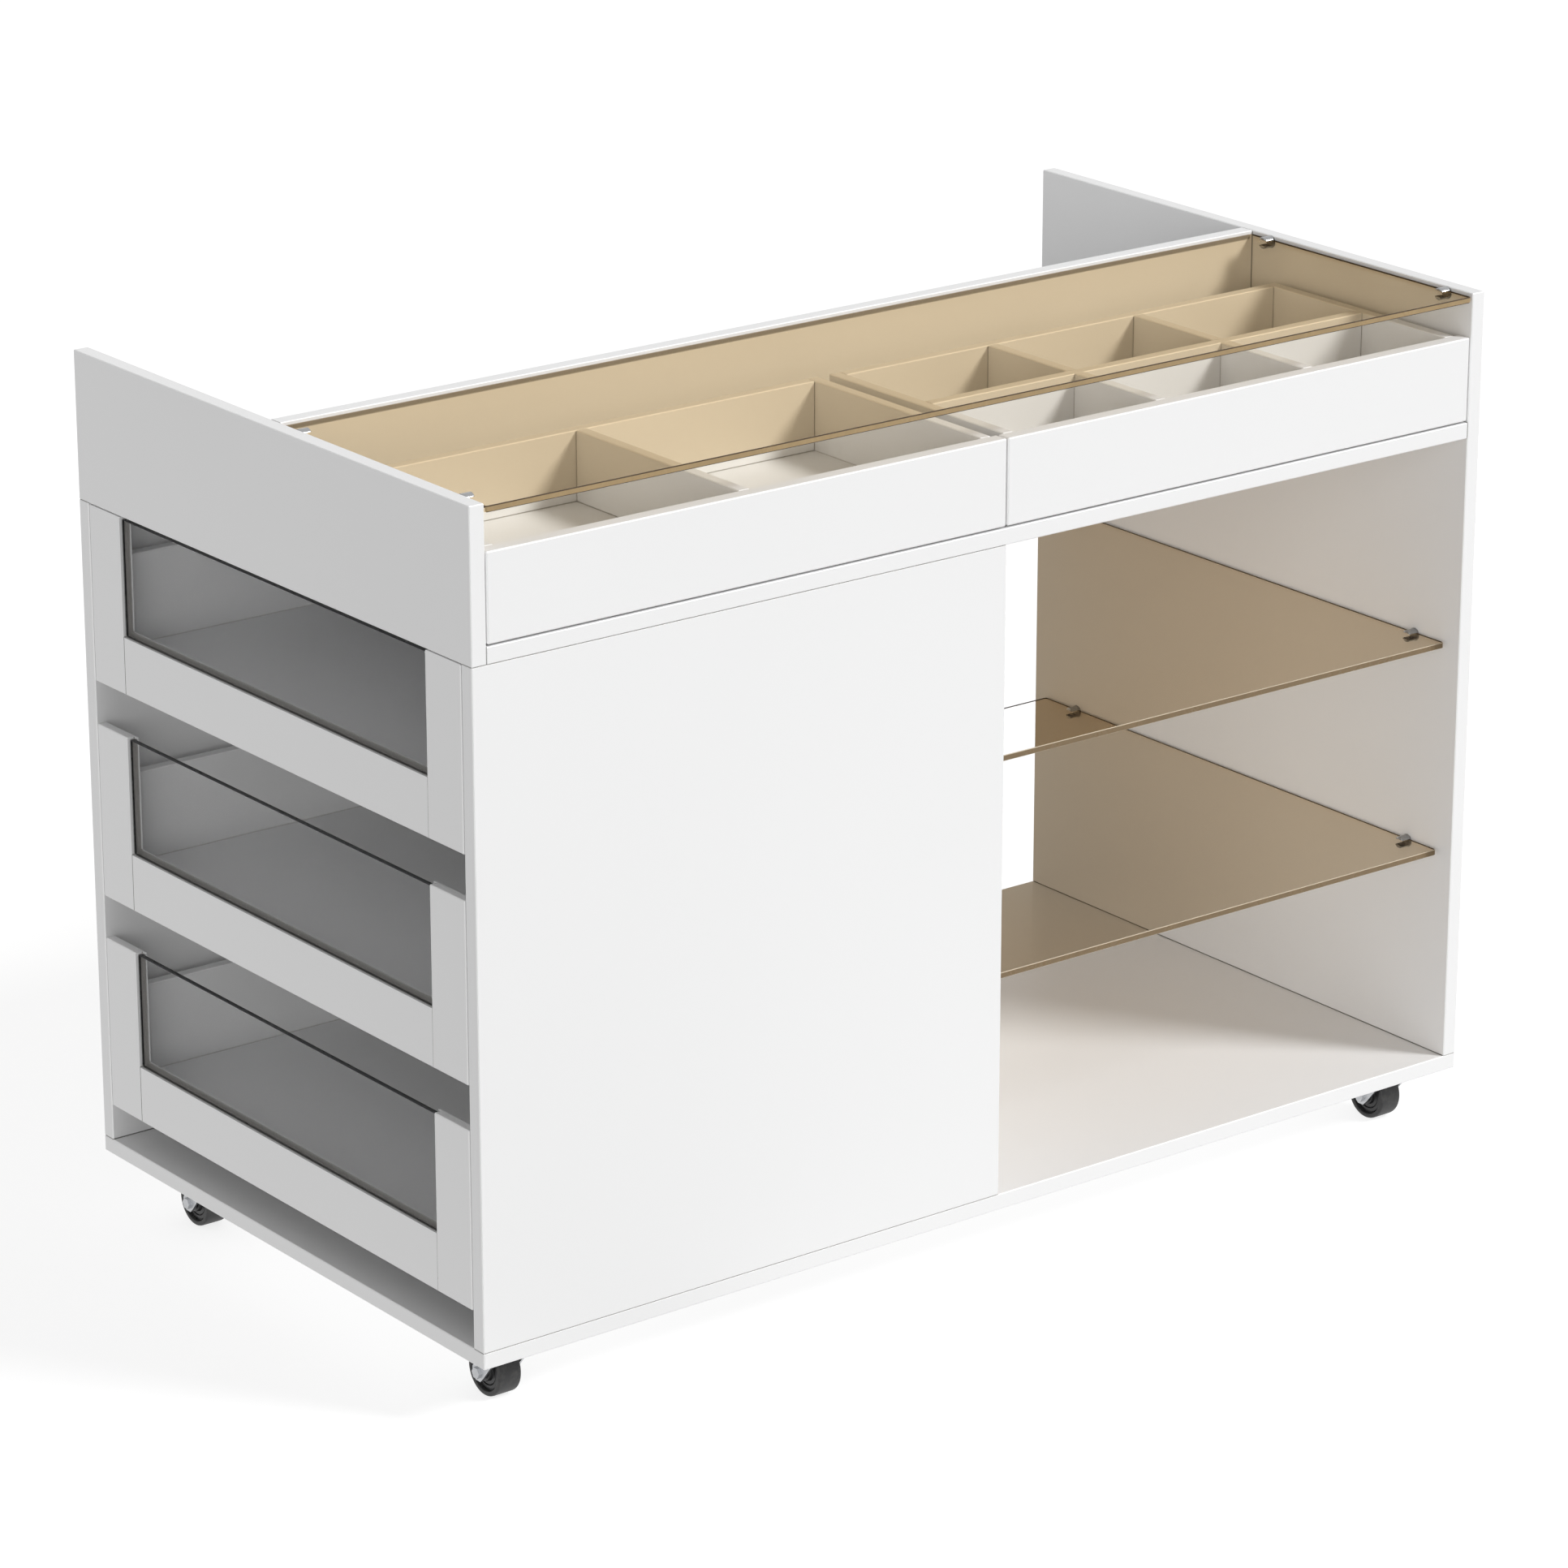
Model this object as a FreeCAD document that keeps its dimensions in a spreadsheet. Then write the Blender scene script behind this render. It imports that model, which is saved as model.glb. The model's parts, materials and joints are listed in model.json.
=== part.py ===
import FreeCAD, Part
import os
import re
import Sketcher

# A wheeled display chest: three glass-fronted drawers that open to the left, an open bay with two
# glass shelves, and an upper tier with two partitioned drawers under a glass top.
# Millimetres. +X runs to the right along the front, -Y is the front, +Z is up.
# The origin is on the floor, at the centre of the footprint.

os.makedirs("parts", exist_ok=True)
doc = FreeCAD.newDocument("display_chest")

# Driving sizes: name, value, meaning.
sizes = [
    ("overall_width", 1200, "whole chest, left to right"),
    ("overall_depth", 650, "whole chest, front to back"),
    ("board", 16, "laminated board"),
    ("edge_ease", 0.8, "bevel on the boards' edges"),
    ("left_width", 600, "unit with the side drawers"),
    ("panel_height", 650, "base to deck"),
    ("upper_height", 130, "deck to the top of the upper tier"),
    ("partition_set", 320, "front face to the upper tier's partition"),

    ("pane_arris", 0.6, "ground edge of the glass"),
    ("glass_corner", 2, "corner taken off the shelves and the top"),
    ("glass_side_gap", 1.5, "glass edge to the boards beside it"),
    ("top_glass", 6, "thickness of the glass top"),
    ("top_drop", 3, "glass top below the boards' top edges"),
    ("top_back_gap", 1, "glass top to the partition"),
    ("shelf_glass", 6, "thickness of a shelf"),
    ("shelf_setback", 20, "shelf edge behind the front and before the back"),
    ("lower_shelf_height", 217.5, "top of the lower shelf over the base"),
    ("upper_shelf_height", 436, "top of the upper shelf over the base"),

    ("clip_round", 12, "diameter of a glass clip"),
    ("clip_reach", 12, "length of a glass clip"),
    ("clip_web", 1.2, "closed end of a clip at the board"),
    ("top_clip_front", 36, "front face to the first clip of the glass top"),
    ("top_clip_back", 28, "last clip of the glass top to the partition"),
    ("shelf_clip_set", 50, "shelf edge to its clips"),

    ("drawer_low_gap", 37, "base to the lowest side drawer"),
    ("drawer_top_gap", 1.4, "highest side drawer to the deck"),
    ("finger_gap", 43.3, "open grip gap between side drawers"),
    ("frame_side_gap", 1.5, "drawer frame to the boards beside it"),
    ("frame_thick", 10, "drawer frame"),
    ("stile_width", 54, "upright of the drawer frame"),
    ("rail_height", 57, "bottom rail of the drawer frame"),
    ("pane_thick", 5, "drawer glass"),
    ("pane_recess", 2.5, "glass behind the frame's face"),
    ("pane_lip", 5, "part of the frame behind the glass edge"),
    ("pane_gap", 0.8, "dark line round the glass"),
    ("pane_drop", 2, "top of the glass below the frame's top"),
    ("pane_bevel", 1, "polished bevel of the drawer glass"),

    ("drawer_back_gap", 22, "side drawer's back to the inner end panel"),
    ("box_board", 12, "sides, backs and dividers of the drawers"),
    ("side_height", 100, "side of a side drawer"),
    ("side_raise", 26, "side's lower edge over the frame's"),
    ("floor_board", 8, "bottom of a side drawer"),
    ("floor_inset", 3, "bottom's underside over the side's lower edge"),
    ("groove_depth", 6, "groove that holds a side drawer's bottom"),
    ("groove_end_gap", 0.2, "bottom's edge to the end of its groove"),

    ("slide_width", 12.7, "space for a ball slide"),
    ("slide_height", 45, "ball slide"),
    ("slide_thickness", 1.2, "sheet of slides and rails"),
    ("slide_lip_height", 1.2, "turned edge of the fixed member"),
    ("slide_outer_reach", 9.5, "depth of the fixed member"),
    ("slide_inner_gap", 0.4, "between nested members"),
    ("slide_setback", 1, "slide behind the drawer frame"),

    ("top_gap_side", 1.5, "upper drawer front to the board beside it"),
    ("top_gap_middle", 2, "between the two upper drawer fronts"),
    ("top_front_raise", 2, "upper drawer front over the deck"),
    ("top_front_height", 84, "upper drawer front"),
    ("top_front_ease", 1.2, "bevel round the upper drawer fronts"),
    ("top_box_inset", 6.25, "box narrower than its front, each side"),
    ("top_box_depth", 260, "box behind its front"),
    ("top_side_raise", 4, "box side over the deck"),
    ("top_floor_board", 6, "bottom of an upper drawer"),
    ("top_floor_raise", 11.5, "bottom's underside over the deck"),
    ("top_groove_depth", 4, "groove that holds an upper drawer's bottom"),
    ("rail_width", 26.8, "fixed rail under an upper drawer"),
    ("runner_gap", 0.5, "runner to its rail"),
    ("runner_lift", 2.5, "runner's lower edge over the deck"),
    ("runner_length", 250, "runner and rail"),
    ("runner_setback", 4, "runner behind the front"),
    ("runner_inset", 28, "inside of the box to the runner's middle"),

    ("caster_side", 53, "chest's side to a swivel axis"),
    ("caster_front", 40, "front edge to the front swivel axes"),
    ("caster_back", 116, "back edge to the rear swivel axes"),
    ("wheel_round", 50, "wheel diameter"),
    ("wheel_width", 25, "tread width"),
    ("hub_round", 21, "hub of the wheel"),
    ("hub_proud", 1, "hub past the tread, each side"),
    ("wheel_clear", 0.9, "wheel to the fork's crown"),
    ("wheel_trail", 20, "swivel axis to the axle"),
    ("fork_inner", 33, "space between the fork's legs"),
    ("fork_thickness", 2.5, "sheet of the fork"),
    ("fork_eye", 8.5, "axle to the flats of a leg's lower end"),
    ("crown_half", 14, "half of the crown, front to back"),
    ("swivel_gap", 0.3, "fork to the race and the kingpin's head"),
    ("race_height", 1.8, "race under the plate"),
    ("race_round", 28, "race diameter"),
    ("king_round", 8, "kingpin"),
    ("king_head", 12, "kingpin's riveted head"),
    ("king_head_height", 1.8, "height of that head"),
    ("king_gap", 0.1, "kingpin to the crown's hole"),
    ("plate_size", 60, "caster's square plate"),
    ("plate_thick", 2.5, "caster's plate"),
    ("plate_corner", 4, "corner taken off the plate"),
    ("axle_round", 6, "axle bolt"),
    ("axle_gap", 0.1, "axle to the wheel's bore"),
    ("axle_head_height", 3, "bolt head"),
    ("axle_flats", 10, "across the flats of the axle's head and nut"),
    ("nut_height", 5, "nut"),
]

sheet = doc.addObject("Spreadsheet::Sheet", "dim")
for row, (name, size, meaning) in enumerate(sizes, 1):
    sheet.set(f"A{row}", name)
    sheet.set(f"B{row}", str(size))
    sheet.set(f"C{row}", meaning)
    sheet.setAlias(f"B{row}", name)
doc.recompute()

# Levels and places that follow from the sizes.
wheel_level = "(wheel_round / 2)"
crown_under = "(wheel_round + wheel_clear)"
crown_top = f"({crown_under} + fork_thickness)"
race_under = f"({crown_top} + swivel_gap)"
plate_under = f"({race_under} + race_height)"
base_under = f"({plate_under} + plate_thick)"
base_top = f"({base_under} + board)"
deck_under = f"({base_top} + panel_height)"
deck_top = f"({deck_under} + board)"
chest_top = f"({deck_top} + upper_height)"

left_face = "(-overall_width / 2)"
right_face = "(overall_width / 2)"
front_face = "(-overall_depth / 2)"
back_face = "(overall_depth / 2)"
bay_left = f"({left_face} + left_width)"
bay_right = f"({right_face} - board)"
bay_middle = f"(({bay_left} + {bay_right}) / 2)"
bay_half = f"(({bay_right} - {bay_left}) / 2)"
top_glass_middle = f"({chest_top} - top_drop - top_glass / 2)"

side_half = "(overall_depth / 2 - board)"
frame_half = f"({side_half} - frame_side_gap)"
frame_height = "((panel_height - drawer_low_gap - drawer_top_gap - 2 * finger_gap) / 3)"
drawer_pitch = f"({frame_height} + finger_gap)"
pane_half = f"({frame_half} - stile_width)"
rebate = "(pane_recess + pane_thick)"
box_half = f"({side_half} - slide_width)"
inner_half = f"({box_half} - box_board)"
floor_under = "(side_raise + floor_inset)"
side_top = "(side_raise + side_height)"
box_end = "(left_width - board - drawer_back_gap)"
slide_start = "(frame_thick + slide_setback)"
slide_length = f"({box_end} - frame_thick - 2 * slide_setback)"
slide_level = "(side_raise + side_height / 2)"

front_width = "((overall_width - 2 * board - 2 * top_gap_side - top_gap_middle) / 2)"
drawer_middle = f"({front_width} / 2 + top_gap_middle / 2)"
top_box_half = f"({front_width} / 2 - top_box_inset)"
top_inner_half = f"({top_box_half} - box_board)"
top_height = "(top_front_raise + top_front_height)"
top_floor = "(top_floor_raise + top_floor_board)"
top_box_end = "(board + top_box_depth)"
top_back_inner = f"({top_box_end} - box_board)"
cell_middle = f"((board + {top_back_inner}) / 2)"
cell_width = f"((2 * {top_inner_half} - 2 * box_board) / 3)"
cross_at = f"({cell_width} / 2 + box_board / 2)"
lap_level = f"(({top_floor} + {top_height}) / 2)"
runner_at = f"({top_inner_half} - runner_inset)"
rail_half = "(rail_width / 2)"
runner_under = "(top_floor_raise - slide_thickness)"
rail_top = f"({runner_under} - runner_gap)"
runner_inside = f"({rail_half} + runner_gap)"
runner_outside = f"({runner_inside} + slide_thickness)"

fork_half = "(fork_inner / 2 + fork_thickness)"
caster_x = f"({left_face} + caster_side)"
caster_y = f"({front_face} + caster_front)"
caster_step_x = "(overall_width - 2 * caster_side)"
caster_step_y = "(overall_depth - caster_front - caster_back)"

size_name = re.compile(r"\b(" + "|".join(name for name, size, meaning in sizes) + r")\b")
nodes = []
cuts = []


def full(expression):
    return size_name.sub(r"dim.\1", expression)


def number(expression):
    return float(sheet.evalExpression(full(expression)))


def bind(item, place, expression):
    item.setExpression(place, full(expression))


def move(item, x, y, z):
    for axis, expression in zip("xyz", (x, y, z)):
        bind(item, f"Placement.Base.{axis}", expression)


def origin_item(body, role):
    return [item for item in body.Origin.OriginFeatures if item.Role == role][0]


def new_body(label, x="0", y="0", z="0"):
    body = doc.addObject("PartDesign::Body", label)
    body.Label = label
    move(body, x, y, z)
    return body


def node(label, x="0", y="0", z="0"):
    body = new_body(label, x, y, z)
    nodes.append(body)
    return body


def group(label, pieces, x="0", y="0", z="0"):
    """Several solids that share one name."""
    compound = doc.addObject("Part::Compound", label)
    compound.Label = label
    compound.Links = pieces
    move(compound, x, y, z)
    nodes.append(compound)
    return compound


def new_sketch(body, plane, lift="0"):
    sketch = body.newObject("Sketcher::SketchObject", body.Name + "_sketch")
    sketch.AttachmentSupport = [(origin_item(body, plane), "")]
    sketch.MapMode = "FlatFace"
    bind(sketch, "AttachmentOffset.Base.z", lift)
    return sketch


def hold(sketch, item, end, point):
    """Tie one point of a sketch to its two coordinates."""
    for kind, expression in zip(("DistanceX", "DistanceY"), point):
        rule = Sketcher.Constraint(kind, -1, 1, item, end, number(expression))
        index = sketch.addConstraint(rule)
        bind(sketch, f"Constraints[{index}]", expression)


def draw_outline(sketch, points):
    first = sketch.GeometryCount
    corners = [FreeCAD.Vector(number(u), number(v), 0) for u, v in points]
    lines = [Part.LineSegment(a, b) for a, b in zip(corners, corners[1:] + corners[:1])]
    sketch.addGeometry(lines, False)
    for index, point in enumerate(points):
        after = first + (index + 1) % len(points)
        sketch.addConstraint(Sketcher.Constraint("Coincident", first + index, 2, after, 1))
        hold(sketch, first + index, 1, point)


def draw_rectangle(sketch, u0, v0, u1, v1):
    draw_outline(sketch, [(u0, v0), (u1, v0), (u1, v1), (u0, v1)])


def draw_circle(sketch, u, v, diameter):
    centre = FreeCAD.Vector(number(u), number(v), 0)
    item = sketch.addGeometry(Part.Circle(centre, FreeCAD.Vector(0, 0, 1), number(diameter) / 2), False)
    hold(sketch, item, 3, (u, v))
    index = sketch.addConstraint(Sketcher.Constraint("Diameter", item, number(diameter)))
    bind(sketch, f"Constraints[{index}]", diameter)


def add_feature(body, kind, sketch, length, back, both):
    feature = body.newObject("PartDesign::" + kind, f"{body.Name}_{kind.lower()}")
    feature.Profile = sketch
    bind(feature, "Length", length)
    feature.Reversed = back
    feature.SideType = "Symmetric" if both else "One side"
    return feature


def pad(body, sketch, length, back=False, both=False):
    return add_feature(body, "Pad", sketch, length, back, both)


def cut(body, sketch, length, back=False, both=False):
    feature = add_feature(body, "Pocket", sketch, length, back, both)
    cuts.append(feature)
    return feature


def cut_box(body, plane, lift, corners, depth, back=False, both=False):
    sketch = new_sketch(body, plane, lift)
    draw_rectangle(sketch, *corners)
    return cut(body, sketch, depth, back, both)


def drill(body, plane, lift, centres, diameter, depth, back=False):
    sketch = new_sketch(body, plane, lift)
    for u, v in centres:
        draw_circle(sketch, u, v, diameter)
    return cut(body, sketch, depth, back)


def ease(body, size):
    """Bevel every edge that the body has so far."""
    base = body.Tip
    feature = body.newObject("PartDesign::Chamfer", body.Name + "_ease")
    feature.Base = (base, [""])
    feature.UseAllEdges = True
    bind(feature, "Size", size)
    return feature


def edges_where(feature, test):
    doc.recompute()
    edges = feature.Shape.Edges
    return [f"Edge{index}" for index, edge in enumerate(edges, 1) if test(edge)]


def runs_along(edge, axis):
    """True for a straight edge along the axis given by its index."""
    if not isinstance(edge.Curve, Part.Line):
        return False
    return abs(abs(edge.Curve.Direction[axis]) - 1) < 1e-6


def round_edges(body, test, radius):
    base = body.Tip
    edges = edges_where(base, test)
    feature = body.newObject("PartDesign::Fillet", body.Name + "_round")
    feature.Base = (base, edges)
    bind(feature, "Radius", radius)
    return feature


def clip_corners(body, size):
    """Take the upright corners off a plate."""
    base = body.Tip
    edges = edges_where(base, lambda edge: runs_along(edge, 2))
    feature = body.newObject("PartDesign::Chamfer", body.Name + "_corners")
    feature.Base = (base, edges)
    bind(feature, "Size", size)
    return feature


def revolve(body, sketch):
    feature = body.newObject("PartDesign::Revolution", body.Name + "_turned")
    feature.Profile = sketch
    feature.ReferenceAxis = (sketch, ["H_Axis"])
    feature.Angle = 360
    return feature


def mirror(body, plane):
    feature = body.newObject("PartDesign::Mirrored", body.Name + "_mirror")
    feature.TransformMode = "Whole shape"
    feature.MirrorPlane = (origin_item(body, plane), [""])
    body.Tip = feature
    return feature


def repeat(body, axis, distance, count, axis2=None, distance2="0", count2=1):
    feature = body.newObject("PartDesign::LinearPattern", body.Name + "_row")
    feature.TransformMode = "Whole shape"
    feature.Direction = (origin_item(body, axis), [""])
    bind(feature, "Length", f"({distance}) * {count - 1}")
    feature.Occurrences = count
    if axis2:
        feature.Direction2 = (origin_item(body, axis2), [""])
        bind(feature, "Length2", f"({distance2}) * {count2 - 1}")
        feature.Occurrences2 = count2
    body.Tip = feature
    return feature


def flat_board(label, place, width, depth, thick="board", bevel="edge_ease"):
    body = node(label, *place)
    sketch = new_sketch(body, "XY_Plane")
    draw_rectangle(sketch, "0", "0", width, depth)
    pad(body, sketch, thick)
    ease(body, bevel)
    return body


def cross_board(label, place, width, height, thick="board", bevel="edge_ease"):
    """An upright board that faces the front."""
    body = node(label, *place)
    sketch = new_sketch(body, "XZ_Plane")
    draw_rectangle(sketch, "0", "0", width, height)
    pad(body, sketch, thick, back=True)
    ease(body, bevel)
    return body


def side_board(label, place, depth, height, thick="board", bevel="edge_ease"):
    """An upright board that faces the side."""
    body = node(label, *place)
    sketch = new_sketch(body, "YZ_Plane")
    draw_rectangle(sketch, "0", "0", depth, height)
    pad(body, sketch, thick)
    ease(body, bevel)
    return body


# Carcass boards.
flat_board("base_panel", (left_face, front_face, base_under), "overall_width", "overall_depth")
cross_board("front_panel", (left_face, front_face, base_top), "left_width", "panel_height")
cross_board("rear_panel", (left_face, f"{back_face} - board", base_top), "left_width", "panel_height")
flat_board(
    "deck_panel",
    (f"{left_face} + board", front_face, deck_under),
    "overall_width - 2 * board",
    "overall_depth",
)
cross_board(
    "partition_panel",
    (f"{left_face} + board", f"{front_face} + partition_set", deck_top),
    "overall_width - 2 * board",
    "upper_height",
)
side_board(
    "inner_end_panel",
    (f"{bay_left} - board", f"{front_face} + board", base_top),
    "overall_depth - 2 * board",
    "panel_height",
)
side_board(
    "left_upper_panel",
    (left_face, front_face, deck_under),
    "overall_depth",
    "upper_height + board",
)
side_board(
    "right_side_panel",
    (bay_right, front_face, base_top),
    "overall_depth",
    "panel_height + board + upper_height",
)

# Glass top and shelves, with ground edges and rounded corners.
top_pane = node("glass_top", f"{left_face} + board + glass_side_gap", front_face,
                f"{top_glass_middle} - top_glass / 2")
sketch = new_sketch(top_pane, "XY_Plane")
draw_rectangle(sketch, "0", "0", "overall_width - 2 * board - 2 * glass_side_gap",
               "partition_set - top_back_gap")
pad(top_pane, sketch, "top_glass")
clip_corners(top_pane, "glass_corner")
ease(top_pane, "pane_arris")

shelves = node("glass_shelves", f"{bay_left} + glass_side_gap", f"{front_face} + shelf_setback",
               f"{base_top} + lower_shelf_height - shelf_glass")
sketch = new_sketch(shelves, "XY_Plane")
draw_rectangle(sketch, "0", "0", f"2 * {bay_half} - 2 * glass_side_gap",
               "overall_depth - 2 * shelf_setback")
pad(shelves, sketch, "shelf_glass")
clip_corners(shelves, "glass_corner")
ease(shelves, "pane_arris")
repeat(shelves, "Z_Axis", "upper_shelf_height - lower_shelf_height", 2)


def glass_clip(label, x, y, z, half_span, glass):
    """A turned clip with a slot for the glass, closed at the board, made as a facing pair."""
    body = new_body(label, x, y, z)
    sketch = new_sketch(body, "YZ_Plane", f"-({half_span})")
    draw_circle(sketch, "0", "0", "clip_round")
    pad(body, sketch, "clip_reach")
    slot = (f"-({half_span}) + clip_web", f"-{glass} / 2", f"-({half_span}) + 2 * clip_reach", f"{glass} / 2")
    cut_box(body, "XZ_Plane", "0", slot, "2 * clip_round", both=True)
    mirror(body, "YZ_Plane")
    return body


top_clip_level = top_glass_middle
top_clip_step = "(partition_set - top_clip_front - top_clip_back)"
shelf_clip_front = "(shelf_setback + shelf_clip_set)"
shelf_clip_step = f"(overall_depth - 2 * {shelf_clip_front})"
shelf_clip_low = f"({base_top} + lower_shelf_height - shelf_glass / 2)"
top_clips = glass_clip("top_clips", "0", f"{front_face} + top_clip_front", top_clip_level,
                       "overall_width / 2 - board", "top_glass")
repeat(top_clips, "Y_Axis", top_clip_step, 2)
shelf_clips = glass_clip("shelf_clips", bay_middle, f"{front_face} + {shelf_clip_front}", shelf_clip_low,
                         bay_half, "shelf_glass")
repeat(shelf_clips, "Y_Axis", shelf_clip_step, 2, "Z_Axis", "upper_shelf_height - lower_shelf_height", 2)
group("glass_clips", [top_clips, shelf_clips])


# Ball slides of the side drawers. Each section is drawn from the board's face towards the drawer.
def channel(body, points):
    sketch = new_sketch(body, "YZ_Plane", slide_start)
    draw_outline(sketch, [(f"-{side_half} + {depth}", height) for depth, height in points])
    pad(body, sketch, slide_length)


def both_ways(upper_half):
    """A section that is the same above and below the slide's middle."""
    lower_half = [(depth, f"-({height})") for depth, height in reversed(upper_half)]
    return upper_half + lower_half


outer_v = "slide_height / 2"
middle_v = f"({outer_v} - slide_thickness - slide_inner_gap)"
inner_v = f"({middle_v} - slide_thickness - slide_inner_gap)"
middle_u = "(slide_thickness + slide_inner_gap)"
inner_u = f"({middle_u} + slide_thickness + slide_inner_gap)"
outer_section = both_ways([
    ("0", outer_v),
    ("slide_outer_reach", outer_v),
    ("slide_outer_reach", f"{outer_v} - slide_thickness - slide_lip_height"),
    ("slide_outer_reach - slide_thickness", f"{outer_v} - slide_thickness - slide_lip_height"),
    ("slide_outer_reach - slide_thickness", f"{outer_v} - slide_thickness"),
    ("slide_thickness", f"{outer_v} - slide_thickness"),
])
middle_section = both_ways([
    (middle_u, middle_v),
    (f"slide_outer_reach - {middle_u}", middle_v),
    (f"slide_outer_reach - {middle_u}", f"{middle_v} - slide_thickness"),
    (f"{middle_u} + slide_thickness", f"{middle_v} - slide_thickness"),
])
inner_section = both_ways([
    ("slide_width", inner_v),
    (inner_u, inner_v),
    (inner_u, f"{inner_v} - slide_thickness"),
    ("slide_width - slide_thickness", f"{inner_v} - slide_thickness"),
])

lowest_slide = f"{base_top} + drawer_low_gap + {slide_level}"
slides = node("side_slide_outers", left_face, "0", lowest_slide)
channel(slides, outer_section)
mirror(slides, "XZ_Plane")
repeat(slides, "Z_Axis", drawer_pitch, 3)


def side_drawer(name, level):
    """One glass-fronted drawer: frame, glass, box and the moving slide members."""
    place = (left_face, "0", level)

    stiles = node(name + "_drawer_stiles", *place)
    sketch = new_sketch(stiles, "XY_Plane")
    draw_rectangle(sketch, "0", f"-{frame_half}", "frame_thick", f"-{pane_half} + pane_lip")
    pad(stiles, sketch, frame_height)
    ease(stiles, "edge_ease")
    cut_box(stiles, "XY_Plane", "0", ("-1", f"-{pane_half}", rebate, f"-{pane_half} + 2 * pane_lip"),
            frame_height, back=True)
    mirror(stiles, "XZ_Plane")

    rail = node(name + "_drawer_rail", *place)
    sketch = new_sketch(rail, "XZ_Plane")
    draw_rectangle(sketch, "0", "0", "frame_thick", "rail_height + pane_lip")
    pad(rail, sketch, f"2 * {pane_half}", both=True)
    ease(rail, "edge_ease")
    cut_box(rail, "XZ_Plane", "0", ("-1", "rail_height", rebate, "rail_height + 2 * pane_lip"),
            "overall_depth", both=True)
    for side in (-1, 1):
        cut_box(rail, "XZ_Plane", f"{side} * {pane_half}",
                (rebate, "-1", "frame_thick + 1", "rail_height + 2 * pane_lip"),
                "pane_lip", back=side < 0)

    pane = node(name + "_drawer_glass", *place)
    sketch = new_sketch(pane, "YZ_Plane", "pane_recess")
    draw_rectangle(sketch, f"-{pane_half} + pane_gap", "rail_height + pane_gap",
                   f"{pane_half} - pane_gap", f"{frame_height} - pane_drop")
    pad(pane, sketch, "pane_thick")
    ease(pane, "pane_bevel")

    sides = node(name + "_drawer_sides", *place)
    sketch = new_sketch(sides, "XZ_Plane", box_half)
    draw_rectangle(sketch, "frame_thick", "side_raise", box_end, side_top)
    pad(sides, sketch, "box_board", back=True)
    ease(sides, "edge_ease")
    cut_box(sides, "XZ_Plane", inner_half, ("0", floor_under, f"{box_end} + 1", f"{floor_under} + floor_board"),
            "groove_depth", back=True)
    mirror(sides, "XZ_Plane")

    back = node(name + "_drawer_back", *place)
    sketch = new_sketch(back, "YZ_Plane", f"{box_end} - box_board")
    draw_rectangle(sketch, f"-{inner_half}", "side_raise", inner_half, side_top)
    pad(back, sketch, "box_board")
    ease(back, "edge_ease")
    cut_box(back, "YZ_Plane", f"{box_end} - box_board",
            (f"-{inner_half} - 1", floor_under, f"{inner_half} + 1", f"{floor_under} + floor_board"),
            "groove_depth", back=True)

    bottom = node(name + "_drawer_bottom", *place)
    sketch = new_sketch(bottom, "XY_Plane", floor_under)
    reach = f"({inner_half} + groove_depth - groove_end_gap)"
    draw_rectangle(sketch, "frame_thick", f"-{reach}",
                   f"{box_end} - box_board + groove_depth - groove_end_gap", reach)
    pad(bottom, sketch, "floor_board")

    inners = node(name + "_slide_inners", left_face, "0", f"{level} + {slide_level}")
    channel(inners, inner_section)
    mirror(inners, "XZ_Plane")

    middles = node(name + "_slide_middles", left_face, "0", f"{level} + {slide_level}")
    channel(middles, middle_section)
    mirror(middles, "XZ_Plane")


for count, name in enumerate(("lower", "middle", "upper")):
    side_drawer(name, f"{base_top} + drawer_low_gap + {count} * {drawer_pitch}")


def top_drawer(name, middle):
    """One shallow drawer of the upper tier, without its dividers."""
    place = (middle, front_face, deck_top)

    front = node(name + "_drawer_front", *place)
    sketch = new_sketch(front, "XZ_Plane")
    draw_rectangle(sketch, f"-{front_width} / 2", "top_front_raise", f"{front_width} / 2", top_height)
    pad(front, sketch, "board", back=True)
    ease(front, "top_front_ease")

    sides = node(name + "_drawer_sides", *place)
    sketch = new_sketch(sides, "YZ_Plane", f"-{top_box_half}")
    draw_rectangle(sketch, "board", "top_side_raise", top_box_end, top_height)
    pad(sides, sketch, "box_board")
    ease(sides, "edge_ease")
    cut_box(sides, "YZ_Plane", f"-{top_inner_half}",
            ("0", "top_floor_raise", f"{top_box_end} + 1", top_floor), "top_groove_depth")
    mirror(sides, "YZ_Plane")

    back = node(name + "_drawer_back", *place)
    sketch = new_sketch(back, "XZ_Plane", f"-{top_back_inner}")
    draw_rectangle(sketch, f"-{top_inner_half}", top_floor, top_inner_half, top_height)
    pad(back, sketch, "box_board", back=True)
    ease(back, "edge_ease")

    bottom = node(name + "_drawer_bottom", *place)
    reach = f"({top_inner_half} + top_groove_depth - groove_end_gap)"
    sketch = new_sketch(bottom, "XY_Plane", "top_floor_raise")
    draw_rectangle(sketch, f"-{reach}", "board", reach, top_box_end)
    pad(bottom, sketch, "top_floor_board")

    runners = node(name + "_drawer_runners", *place)
    sketch = new_sketch(runners, "XZ_Plane", "-(board + runner_setback)")
    half = [
        (f"-{runner_outside}", "top_floor_raise"),
        (f"-{runner_outside}", "runner_lift"),
        (f"-{runner_inside}", "runner_lift"),
        (f"-{runner_inside}", runner_under),
    ]
    section = half + [(f"-({u})", v) for u, v in reversed(half)]
    draw_outline(sketch, [(f"-{runner_at} + {u}", v) for u, v in section])
    pad(runners, sketch, "runner_length", back=True)
    mirror(runners, "YZ_Plane")


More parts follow.
